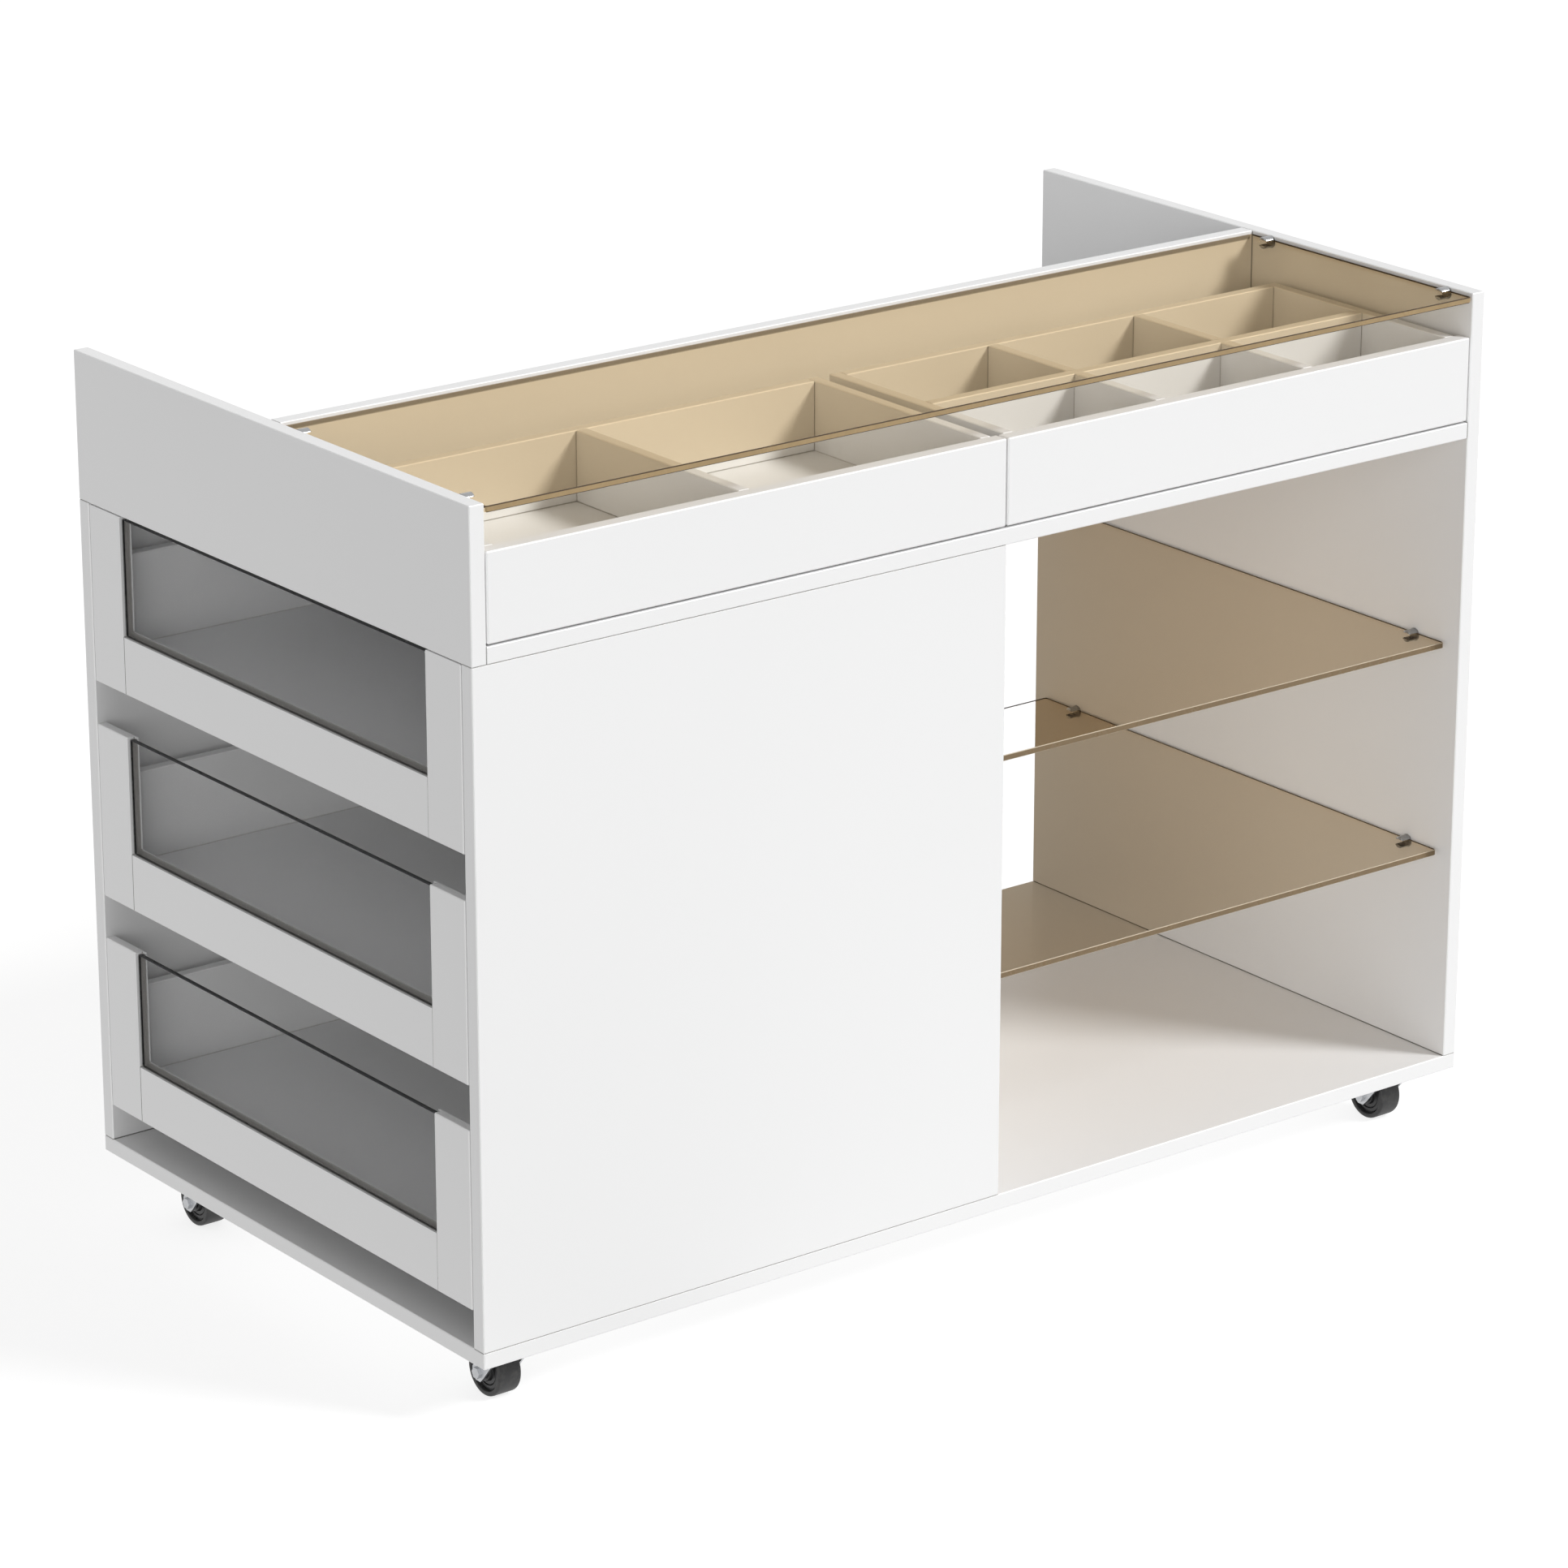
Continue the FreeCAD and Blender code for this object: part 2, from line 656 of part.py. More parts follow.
def front_to_back_divider(label, middle, at):
    body = node(label, middle, front_face, deck_top)
    sketch = new_sketch(body, "YZ_Plane", f"{at} - box_board / 2")
    draw_rectangle(sketch, "board", top_floor, top_back_inner, top_height)
    pad(body, sketch, "box_board")
    ease(body, "edge_ease")
    return body


top_drawer("left_top", f"-{drawer_middle}")
front_to_back_divider("left_top_drawer_divider", f"-{drawer_middle}", "0")

top_drawer("right_top", drawer_middle)
crosses = front_to_back_divider("right_top_drawer_cross_dividers", drawer_middle, f"-{cross_at}")
cut_box(crosses, "YZ_Plane", f"-{cross_at}",
        (f"{cell_middle} - box_board / 2", lap_level, f"{cell_middle} + box_board / 2", f"{top_height} + 1"),
        "2 * box_board", both=True)
mirror(crosses, "YZ_Plane")
long_divider = node("right_top_drawer_long_divider", drawer_middle, front_face, deck_top)
sketch = new_sketch(long_divider, "XZ_Plane", f"-({cell_middle} - box_board / 2)")
draw_rectangle(sketch, f"-{top_inner_half}", top_floor, top_inner_half, top_height)
pad(long_divider, sketch, "box_board", back=True)
ease(long_divider, "edge_ease")
for side in (-1, 1):
    at = f"{side} * {cross_at}"
    cut_box(long_divider, "XZ_Plane", f"-{cell_middle}",
            (f"{at} - box_board / 2", f"{top_floor} - 1", f"{at} + box_board / 2", lap_level),
            "2 * box_board", both=True)

# Fixed rails on the deck, under both upper drawers.
rails = node("top_slide_rails", f"-{drawer_middle}", front_face, deck_top)
sketch = new_sketch(rails, "XZ_Plane", "-(board + runner_setback)")
section = [
    (f"-{rail_half}", rail_top),
    (f"-{rail_half}", "0"),
    (rail_half, "0"),
    (rail_half, rail_top),
    (f"{rail_half} - slide_thickness", rail_top),
    (f"{rail_half} - slide_thickness", "slide_thickness"),
    (f"-({rail_half} - slide_thickness)", "slide_thickness"),
    (f"-({rail_half} - slide_thickness)", rail_top),
]
draw_outline(sketch, [(f"-{runner_at} + {u}", v) for u, v in section])
pad(rails, sketch, "runner_length", back=True)
mirror(rails, "YZ_Plane")
repeat(rails, "X_Axis", f"2 * {drawer_middle}", 2)

# Caster plates with the fixed race and the kingpin.
plates = node("caster_plates", caster_x, caster_y)
sketch = new_sketch(plates, "XY_Plane", plate_under)
draw_rectangle(sketch, "-plate_size / 2", "-plate_size / 2", "plate_size / 2", "plate_size / 2")
pad(plates, sketch, "plate_thick")
clip_corners(plates, "plate_corner")
for diameter, low, high in (
    ("race_round", race_under, plate_under),
    ("king_round", f"{crown_under} - swivel_gap", race_under),
    ("king_head", f"{crown_under} - swivel_gap - king_head_height", f"{crown_under} - swivel_gap"),
):
    sketch = new_sketch(plates, "XY_Plane", low)
    draw_circle(sketch, "0", "0", diameter)
    pad(plates, sketch, f"{high} - ({low})")
repeat(plates, "X_Axis", caster_step_x, 2, "Y_Axis", caster_step_y, 2)


# Fork: the outline of a leg drawn across the crown, hollowed for the wheel.
fork = new_body("fork_sheet")
sketch = new_sketch(fork, "YZ_Plane")
eye_corner = "fork_eye * tan(22.5 deg)"
draw_outline(sketch, [
    ("-crown_half", crown_top),
    ("crown_half", crown_top),
    ("wheel_trail + fork_eye", f"{wheel_level} + {eye_corner}"),
    ("wheel_trail + fork_eye", f"{wheel_level} - {eye_corner}"),
    (f"wheel_trail + {eye_corner}", f"{wheel_level} - fork_eye"),
    (f"wheel_trail - {eye_corner}", f"{wheel_level} - fork_eye"),
    ("wheel_trail - fork_eye", f"{wheel_level} - {eye_corner}"),
])
pad(fork, sketch, f"2 * {fork_half}", both=True)
bend = number(crown_top)
round_edges(
    fork,
    lambda edge: runs_along(edge, 1) and abs(edge.CenterOfMass.z - bend) < 1e-6,
    "fork_thickness",
)
cut_box(fork, "YZ_Plane", "0", ("-2 * wheel_round", "-1", "2 * wheel_round", crown_under),
        "fork_inner", both=True)
drill(fork, "XY_Plane", crown_top, [("0", "0")], "king_round + 2 * king_gap", "fork_thickness")

# The axle bolt is fast in the fork: a hexagonal head on the left, a nut on the right.
sketch = new_sketch(fork, "YZ_Plane", "-fork_inner / 2")
draw_circle(sketch, "wheel_trail", wheel_level, "axle_round")
pad(fork, sketch, "fork_inner")
corner = "axle_flats / 2 / cos(30 deg)"
for side, height in ((-1, "axle_head_height"), (1, "nut_height")):
    sketch = new_sketch(fork, "YZ_Plane", f"{side} * {fork_half}")
    draw_outline(sketch, [(f"wheel_trail + {corner} * cos({step} deg)",
                           f"{wheel_level} + {corner} * sin({step} deg)")
                          for step in range(0, 360, 60)])
    pad(fork, sketch, height, back=side < 0)

# Wheel: a turned tread with a hub that stands out at both ends.
wheel = new_body("wheel_turned")
sketch = new_sketch(wheel, "XZ_Plane")
half = [
    ("wheel_width / 2 + hub_proud", "axle_round / 2 + axle_gap"),
    ("wheel_width / 2 + hub_proud", "hub_round / 2"),
    ("wheel_width / 2", "hub_round / 2"),
    ("wheel_width / 2", "wheel_round / 2"),
]
draw_outline(sketch, half + [(f"-({u})", v) for u, v in reversed(half)])
revolve(wheel, sketch)

for row, y in (("front", caster_y), ("rear", f"{caster_y} + {caster_step_y}")):
    for side, x in (("left", caster_x), ("right", f"{caster_x} + {caster_step_x}")):
        group(f"{row}_{side}_fork", [fork], x, y)
        group(f"{row}_{side}_wheel", [wheel], x, f"{y} + wheel_trail", wheel_level)

doc.recompute()

for item in doc.Objects:
    if "Invalid" in item.State or "Error" in item.State:
        raise RuntimeError(f"{item.Label} failed: {item.State}")
for feature in cuts:
    if feature.Shape.Volume > feature.BaseFeature.Shape.Volume - 1e-3:
        raise RuntimeError(f"{feature.Label} removes nothing")
for item in nodes:
    if item.Shape.isNull() or not item.Shape.isValid():
        raise RuntimeError(f"{item.Label} has no sound shape")
for item in nodes:
    item.Shape.exportStep(f"parts/{item.Label}.step")
print(len(nodes), "nodes,", sum(len(item.Shape.Solids) for item in nodes), "solids")
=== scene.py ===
import bpy
import bmesh
import json
import math
from mathutils import Matrix, Vector


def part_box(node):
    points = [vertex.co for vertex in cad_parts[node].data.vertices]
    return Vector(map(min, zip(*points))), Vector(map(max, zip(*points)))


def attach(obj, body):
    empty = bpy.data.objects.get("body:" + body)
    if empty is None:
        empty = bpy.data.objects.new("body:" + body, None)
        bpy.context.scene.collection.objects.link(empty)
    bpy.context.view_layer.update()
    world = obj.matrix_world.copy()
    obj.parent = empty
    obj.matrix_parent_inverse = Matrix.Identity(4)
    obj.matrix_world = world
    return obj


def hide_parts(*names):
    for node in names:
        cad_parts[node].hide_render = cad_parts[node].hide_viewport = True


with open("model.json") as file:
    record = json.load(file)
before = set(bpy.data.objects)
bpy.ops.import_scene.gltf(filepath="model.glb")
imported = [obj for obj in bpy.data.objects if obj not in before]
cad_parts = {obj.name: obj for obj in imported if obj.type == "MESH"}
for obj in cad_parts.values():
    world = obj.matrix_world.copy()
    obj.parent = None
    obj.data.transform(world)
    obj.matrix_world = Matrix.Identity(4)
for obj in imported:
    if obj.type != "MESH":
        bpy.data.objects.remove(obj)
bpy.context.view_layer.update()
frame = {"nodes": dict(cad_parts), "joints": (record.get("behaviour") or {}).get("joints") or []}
print("frame loaded:", len(frame["nodes"]), "parts")

scene = bpy.context.scene
scene.view_settings.view_transform = "Standard"

# The part of a noise pattern's range that a finish uses.
wideSwing = (0.3, 0.7)
narrowSwing = (0.35, 0.65)


# Shader sums are written as plain expressions on this wrapper.
class Wire:
    def __init__(self, finish, socket):
        self.finish = finish
        self.socket = socket

    def maths(self, operation, left, right):
        return self.finish.node("ShaderNodeMath", {"operation": operation}, {0: left, 1: right})

    def __mul__(self, other):
        return self.maths("MULTIPLY", self, other)

    def __rmul__(self, other):
        return self.maths("MULTIPLY", other, self)

    def __pow__(self, other):
        return self.maths("POWER", self, other)

    def __rpow__(self, other):
        return self.maths("POWER", other, self)

    def max(self, other):
        return self.maths("MAXIMUM", self, other)


# One finish holds the node tree of a material or of the world.
class Finish:
    def __init__(self, name, owner=None):
        self.owner = owner or bpy.data.materials.new(name)
        self.owner.use_nodes = True
        self.tree = self.owner.node_tree
        self.tree.nodes.clear()

    def node(self, kind, settings=None, inputs=None, output=0):
        made = self.tree.nodes.new(kind)
        for key, value in (settings or {}).items():
            setattr(made, key, value)
        for key, value in (inputs or {}).items():
            if isinstance(value, Wire):
                self.tree.links.new(value.socket, made.inputs[key])
            else:
                made.inputs[key].default_value = value
        return Wire(self, made.outputs[output]) if len(made.outputs) else None

    def noise(self, scale, detail=2.0, roughness=0.5, stretch=None):
        where = self.node("ShaderNodeTexCoord", output="Object")
        if stretch:
            where = self.node("ShaderNodeMapping", inputs={"Vector": where, "Scale": stretch})
        return self.node("ShaderNodeTexNoise", inputs={
            "Vector": where, "Scale": scale, "Detail": detail, "Roughness": roughness})

    def between(self, value, low, high, newLow=0, newHigh=1):
        return self.node("ShaderNodeMapRange", {"clamp": True}, {
            "Value": value, "From Min": low, "From Max": high, "To Min": newLow, "To Max": newHigh})

    def path(self, kind):
        return self.node("ShaderNodeLightPath", output=kind)

    def seenRay(self):
        # Rays of the eye, of a mirror image and of a view through glass.
        return self.path("Is Camera Ray").max(self.path("Is Glossy Ray")).max(
            self.path("Is Transmission Ray"))

    def blend(self, factor, first, second):
        return self.node("ShaderNodeMix", {"data_type": "RGBA"}, {
            0: factor, 6: asColour(first), 7: asColour(second)}, output=2)

    def mottle(self, pattern, colour, fade):
        # The colour drifts a little darker along the pattern.
        return self.blend(self.between(pattern, *narrowSwing), colour, scaled(colour, fade))

    def slantedEdge(self, low, high):
        # 1 on the narrow slanted edges of a board, 0 on its broad faces.
        normal = self.node("ShaderNodeVectorMath", {"operation": "ABSOLUTE"}, {
            0: self.node("ShaderNodeTexCoord", output="Normal")})
        across, along, up = [self.node("ShaderNodeSeparateXYZ", inputs={0: normal}, output=part)
                             for part in range(3)]
        return self.between(across.max(along).max(up), low, high, 1, 0)

    def bump(self, height, strength, depth):
        return self.node("ShaderNodeBump", inputs={
            "Height": height, "Strength": strength, "Distance": depth})

    def surface(self, inputs):
        shown = {key: asColour(value) if "Color" in key else value for key, value in inputs.items()}
        return self.node("ShaderNodeBsdfPrincipled", inputs=shown)

    def clearPass(self, tint):
        # Each pane is crossed at two faces, so each face takes the root of the tint.
        return self.node("ShaderNodeBsdfTransparent", inputs={
            "Color": asColour(tuple(math.sqrt(part) for part in tint))})

    def either(self, factor, first, second):
        return self.node("ShaderNodeMixShader", inputs={0: factor, 1: first, 2: second})

    def end(self, shader):
        self.node("ShaderNodeOutputMaterial", inputs={"Surface": shader})
        return self.owner


def asColour(value):
    if isinstance(value, Wire):
        return value
    return (*value, 1) if len(value) == 3 else value


def scaled(colour, factor):
    return tuple(part * factor for part in colour)


def fromScreen(red, green, blue):
    # A colour as it is read on a screen, 0 to 255, turned into light.
    out = []
    for part in (red, green, blue):
        part = part / 255
        out.append(part / 12.92 if part <= 0.04045 else ((part + 0.055) / 1.055) ** 2.4)
    return tuple(out)


# White boards: a fine grain, a painted highlight on the slanted edges, and painted shade in the joints and
# inner corners.
laminateChoices = {
    "white": fromScreen(239, 239, 239),
    "shade": fromScreen(238, 238, 238),
    "cloudScale": 2.2,
    "edgeHighlight": (0.99, 0.99, 0.99),
    "edgeHighlightFacing": (0.80, 0.95),
    "roughness": 0.42,
    "roughnessSpread": (-0.04, 0.05),
    "specular": 0.35,
    "grainScale": 1400,
    "grainStrength": 0.25,
    "grainDepth": 0.00002,
    "seamShade": fromScreen(138, 136, 133),
    "frontSeamShade": fromScreen(226, 225, 223),
    "drawerSeamShade": fromScreen(205, 203, 199),
    "drawerBrightness": 0.99,
    "seamShadeReach": 0.0013,
    "seamShadeRange": (0.62, 0.96),
    "seamShadeSamples": 6,
}


def laminate(name, seamShade, brightness=1.0):
    choices = laminateChoices
    finish = Finish(name)
    cloud = finish.noise(choices["cloudScale"], 3)
    grain = finish.noise(choices["grainScale"], 2, 0.6)
    colour = finish.blend(finish.between(cloud, *narrowSwing), scaled(choices["white"], brightness),
                          scaled(choices["shade"], brightness))
    # Painted highlight: the narrow slanted edges of a board take a lighter colour.
    colour = finish.blend(finish.slantedEdge(*choices["edgeHighlightFacing"]), colour, choices["edgeHighlight"])
    # Painted shade: an occlusion test darkens the colour in a thin line at joints between boards and in
    # inner corners.
    occlusionShade = finish.node("ShaderNodeAmbientOcclusion", {"samples": choices["seamShadeSamples"]},
                       {"Distance": choices["seamShadeReach"]}, output="AO")
    colour = finish.blend(finish.between(occlusionShade, *choices["seamShadeRange"], 1, 0), colour, seamShade)
    smooth, rough = [choices["roughness"] + spread for spread in choices["roughnessSpread"]]
    return finish.end(finish.surface({
        "Base Color": colour,
        "Roughness": finish.between(grain, *wideSwing, smooth, rough),
        "Specular IOR Level": choices["specular"],
        "Normal": finish.bump(grain, choices["grainStrength"], choices["grainDepth"]),
    }))


# Glass: the plain name is the tint that the eye sees through a pane, "Sun" the tint that the
# lamps' light takes, and "Bounce" the tint that light from the boards takes.
glassChoices = {
    "bronze": (0.84, 0.725, 0.55),
    "bronzeSun": (1.0, 0.97, 0.90),
    "bronzeBounce": (0.72, 0.59, 0.41),
    "bronzeShelf": (0.75, 0.635, 0.485),
    "bronzeShelfSun": (1.0, 0.99, 0.97),
    "bronzeShelfBounce": (1.0, 0.905, 0.785),
    "smoke": (0.97, 0.97, 0.97),
    "smokeSun": (0.99, 0.99, 0.99),
    "smokeBounce": (0.99, 0.99, 0.99),
    "ior": 1.5,
    "smear": 0.02,
    "smearScale": 14,
    "smearRange": (0.4, 0.7),
    "calm": 0.985,
}


def tintedGlass(name, glass):
    # The eye, the lamps and light from the boards each meet their own shade of the pane.
    # Little of the pane refracts, because a larger share leaves grain in the picture.
    tint = glassChoices[glass]
    finish = Finish(name)
    wiped = finish.noise(glassChoices["smearScale"], 2)
    body = finish.surface({
        "Base Color": tint,
        "Roughness": finish.between(wiped, *glassChoices["smearRange"], 0, glassChoices["smear"]),
        "IOR": glassChoices["ior"],
        "Transmission Weight": 1.0,
    })
    seen = finish.either(glassChoices["calm"], body, finish.clearPass(tint))
    lit = finish.either(finish.path("Is Shadow Ray"), seen, finish.clearPass(glassChoices[glass + "Sun"]))
    bounced = finish.path("Is Diffuse Ray").max(finish.path("Is Glossy Ray"))
    return finish.end(finish.either(bounced, lit, finish.clearPass(glassChoices[glass + "Bounce"])))


glassEdgeChoices = {
    "bronzeTop": fromScreen(168, 144, 106),
    "bronzeShelf": fromScreen(128, 109, 82),
    "bronzeSide": fromScreen(70, 56, 42),
    "bronzeTopArris": fromScreen(74, 58, 40),
    # Painted highlight: a light line along the front arris of the shelves.
    "bronzeShelfArrisHighlight": fromScreen(200, 186, 164),
    # Painted shade: the drawer panes' rim takes a dark colour for the shadow gap round the pane.
    "smoke": fromScreen(42, 43, 44),
    "streakScale": 60,
    "fade": 0.9,
    "roughness": (0.24, 0.34),
    "specular": 0.25,
}


def glassEdge(name, edge):
    finish = Finish(name)
    streak = finish.noise(glassEdgeChoices["streakScale"], 3, 0.6)
    return finish.end(finish.surface({
        "Base Color": finish.mottle(streak, glassEdgeChoices[edge], glassEdgeChoices["fade"]),
        "Roughness": finish.between(streak, *wideSwing, *glassEdgeChoices["roughness"]),
        "Specular IOR Level": glassEdgeChoices["specular"],
    }))


metalChoices = {
    "clipChrome": {"colour": (0.36, 0.365, 0.37), "roughness": 0.18, "brushing": 0.03, "metallic": 0.72},
    "zincSheet": {"colour": (0.56, 0.57, 0.585), "roughness": 0.36, "brushing": 0.05, "metallic": 1.0},
    "zincBolt": {"colour": (0.66, 0.66, 0.66), "roughness": 0.28, "brushing": 0.05, "metallic": 1.0},
    "grainScale": 400,
    "grainStretch": (0.08, 1, 1),
    "grainStrength": 0.2,
    "grainDepth": 0.00003,
    "cloudScale": 90,
    "fade": 0.9,
}


def brushedMetal(name):
    metal = metalChoices[name]
    finish = Finish(name)
    grain = finish.noise(metalChoices["grainScale"], 3, 0.6, metalChoices["grainStretch"])
    cloud = finish.noise(metalChoices["cloudScale"], 2)
    return finish.end(finish.surface({
        "Base Color": finish.mottle(cloud, metal["colour"], metalChoices["fade"]),
        "Metallic": metal["metallic"],
        "Roughness": finish.between(grain, *wideSwing, metal["roughness"] - metal["brushing"],
                                    metal["roughness"] + metal["brushing"]),
        "Normal": finish.bump(grain, metalChoices["grainStrength"], metalChoices["grainDepth"]),
    }))


wheelFinishChoices = {
    "tyreRubber": {"colour": fromScreen(40, 40, 41), "roughness": 0.5, "dust": 0.25},
    "discPlastic": {"colour": fromScreen(34, 34, 36), "roughness": 0.3, "dust": 0.1},
    "dustColour": fromScreen(110, 108, 104),
    "dustScale": 160,
    "dustRange": (0.45, 0.75),
    "roughnessSpread": (-0.06, 0.08),
    "pitScale": 900,
    "pitStrength": 0.3,
    "pitDepth": 0.00008,
}


def wheelFinish(name):
    choices = wheelFinishChoices
    look = choices[name]
    finish = Finish(name)
    mottle = finish.noise(choices["dustScale"], 4, 0.6)
    smooth, rough = [look["roughness"] + spread for spread in choices["roughnessSpread"]]
    return finish.end(finish.surface({
        "Base Color": finish.blend(finish.between(mottle, *choices["dustRange"], 0, look["dust"]),
                                   look["colour"], choices["dustColour"]),
        "Roughness": finish.between(mottle, *wideSwing, smooth, rough),
        "Normal": finish.bump(finish.noise(choices["pitScale"], 2), choices["pitStrength"],
                              choices["pitDepth"]),
    }))


whiteBoard = laminate("whiteBoard", laminateChoices["seamShade"])
frontBoard = laminate("frontBoard", laminateChoices["frontSeamShade"])
drawerBoard = laminate("drawerBoard", laminateChoices["drawerSeamShade"], laminateChoices["drawerBrightness"])
bronzeTopGlass = tintedGlass("bronzeTopGlass", "bronze")
bronzeShelfGlass = tintedGlass("bronzeShelfGlass", "bronzeShelf")
bronzeTopEdge = glassEdge("bronzeTopEdge", "bronzeTop")
bronzeShelfEdge = glassEdge("bronzeShelfEdge", "bronzeShelf")
bronzeSideEdge = glassEdge("bronzeSideEdge", "bronzeSide")
bronzeTopArris = glassEdge("bronzeTopArris", "bronzeTopArris")
bronzeShelfArrisHighlight = glassEdge("bronzeShelfArrisHighlight", "bronzeShelfArrisHighlight")
smokeGlass = tintedGlass("smokeGlass", "smoke")
smokeShadeEdge = glassEdge("smokeShadeEdge", "smoke")
clipChrome = brushedMetal("clipChrome")
zincSheet = brushedMetal("zincSheet")
zincBolt = brushedMetal("zincBolt")
tyreRubber = wheelFinish("tyreRubber")
discPlastic = wheelFinish("discPlastic")
print("finishes made")


# Carried-over boards and metal take these finishes.
def dress(nodes, finish):
    for name in nodes:
        mesh = frame["nodes"][name].data
        mesh.materials.clear()
        mesh.materials.append(finish)


drawerNames = ("lower", "middle", "upper")
casterCorners = [(row, side) for row in ("front", "rear") for side in ("left", "right")]
dress(["base_panel", "front_panel", "rear_panel", "inner_end_panel", "deck_panel",
       "left_upper_panel", "right_side_panel", "partition_panel"], whiteBoard)
dress(["left_top_drawer_front", "right_top_drawer_front"], frontBoard)
for name in drawerNames:
    dress([f"{name}_drawer_stiles", f"{name}_drawer_rail"], whiteBoard)
    dress([f"{name}_drawer_{piece}" for piece in ("sides", "back", "bottom")], drawerBoard)
    dress([f"{name}_slide_inners", f"{name}_slide_middles"], zincSheet)
for side in ("left", "right"):
    dress([f"{side}_top_drawer_{piece}" for piece in ("sides", "back", "bottom")], drawerBoard)
    dress([f"{side}_top_drawer_runners"], zincSheet)
dress(["left_top_drawer_divider", "right_top_drawer_cross_dividers", "right_top_drawer_long_divider"],
      drawerBoard)
dress(["side_slide_outers", "top_slide_rails", "caster_plates"], zincSheet)
dress([f"{row}_{side}_fork" for row, side in casterCorners], zincSheet)
dress([f"{row}_{side}_wheel" for row, side in casterCorners], tyreRubber)
print("boards and metal dressed")


def meshFrom(name, build):
    mesh = bpy.data.meshes.new(name)
    build.normal_update()
    build.to_mesh(mesh)
    build.free()
    return mesh


def addObject(name, data):
    made = bpy.data.objects.new(name, data)
    scene.collection.objects.link(made)
    return made


def smoothUpTo(mesh, angle):
    mesh.shade_smooth()
    mesh.set_sharp_from_angle(angle=math.radians(angle))


def appliedMesh(holder):
    # The mesh that the object's modifiers give.
    bpy.context.view_layer.update()
    return bpy.data.meshes.new_from_object(holder.evaluated_get(bpy.context.evaluated_depsgraph_get()))


def joinRings(build, rings):
    # Faces between each closed ring of points and the next.
    faces = []
    for near, far in zip(rings, rings[1:]):
        for i in range(len(near)):
            j = (i + 1) % len(near)
            faces.append(build.faces.new((near[i], near[j], far[j], far[i])))
    return faces


# Glass panes: a rounded outline, with narrow strips round the rim that take their own finishes.
paneChoices = {
    "cornerSteps": 6,
    "leastCorner": 0.0001,
    "shelfThick": 0.006,
    "faceOn": 0.99,
    "slanted": 0.1,
    "top": {"corner": 0.003, "arris": 0.0009, "line": 0.0009},
    "shelf": {"corner": 0.003, "arris": 0.0006, "line": 0.0009},
    "drawer": {"corner": 0.0008, "arris": 0.0008, "line": 0.0014},
}


def roundedOutline(low, high, radius, steps):
    corners = [(high[0] - radius, high[1] - radius, 0), (low[0] + radius, high[1] - radius, 90),
               (low[0] + radius, low[1] + radius, 180), (high[0] - radius, low[1] + radius, 270)]
    points = []
    for across, up, start in corners:
        for step in range(steps + 1):
            angle = math.radians(start + 90 * step / steps)
            points.append((across + radius * math.cos(angle), up + radius * math.sin(angle)))
    return points


# Each rule picks the finish of one facet of the rim: 0 face, 1 front edge, 2 dark line, 3 front arris.
# "line" is true on the arris and the strip next to the seen face.
def shelfRim(normal, bevel, line):
    if normal.y < -0.5:
        return 3 if bevel else 1
    return 2 if line else 0


def topRim(normal, bevel, line):
    return 0 if normal.y > 0.5 else shelfRim(normal, bevel, line)


# Painted shade: the strip by the seen face and the upward edge of a drawer pane take the dark rim colour.
def drawerRim(normal, bevel, line):
    return 2 if line or normal.z > 0.3 else 0


# A pane lies across the axis (0 X, 1 Y, 2 Z), and its seen face is at that axis's high or low side.
def makePane(name, node, low, high, rim, finishes, rule, body, axis=2, seenSide=1):
    corner, arris, line = rim["corner"], rim["arris"], rim["line"]
    u, v = [(1, 2), (0, 2), (0, 1)][axis]
    seen, hidden = (high[axis], low[axis]) if seenSide > 0 else (low[axis], high[axis])
    build = bmesh.new()
    rings = []
    for level, inset in ((seen, arris), (seen - seenSide * arris, 0),
                         (seen - seenSide * (arris + line), 0), (hidden + seenSide * arris, 0),
                         (hidden, arris)):
        outline = roundedOutline((low[u] + inset, low[v] + inset), (high[u] - inset, high[v] - inset),
                                 max(corner - inset, paneChoices["leastCorner"]),
                                 paneChoices["cornerSteps"])
        ring = []
        for across, up in outline:
            spot = [0, 0, 0]
            spot[axis], spot[u], spot[v] = level, across, up
            ring.append(build.verts.new(spot))
        rings.append(ring)
    joinRings(build, rings)
    build.faces.new(list(reversed(rings[0])))
    build.faces.new(rings[-1])
    bmesh.ops.recalc_face_normals(build, faces=build.faces)
    build.normal_update()
    for face in build.faces:
        flat = abs(face.normal[axis])
        if flat < paneChoices["faceOn"]:
            depth = abs(face.calc_center_median()[axis] - seen)
            face.material_index = rule(face.normal, flat > paneChoices["slanted"], depth < arris + line)
    piece = addObject(name, meshFrom(name, build))
    for finish in finishes:
        piece.data.materials.append(finish)
    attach(piece, body)
    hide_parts(node)


low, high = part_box("glass_top")
makePane("glassTopPane", "glass_top", low, high, paneChoices["top"],
         [bronzeTopGlass, bronzeTopEdge, bronzeSideEdge, bronzeTopArris], topRim, "chest")
low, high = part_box("glass_shelves")
for name, bottom in (("lowerShelfPane", low.z), ("upperShelfPane", high.z - paneChoices["shelfThick"])):
    makePane(name, "glass_shelves", (low.x, low.y, bottom),
             (high.x, high.y, bottom + paneChoices["shelfThick"]), paneChoices["shelf"],
             [bronzeShelfGlass, bronzeShelfEdge, bronzeSideEdge, bronzeShelfArrisHighlight], shelfRim,
             "chest")
for name in drawerNames:
    low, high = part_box(f"{name}_drawer_glass")
    makePane(f"{name}DrawerPane", f"{name}_drawer_glass", low, high, paneChoices["drawer"],
             [smokeGlass, smokeShadeEdge, smokeShadeEdge, smokeShadeEdge], drawerRim, f"{name}_drawer",
             axis=0, seenSide=-1)
print("glass made")


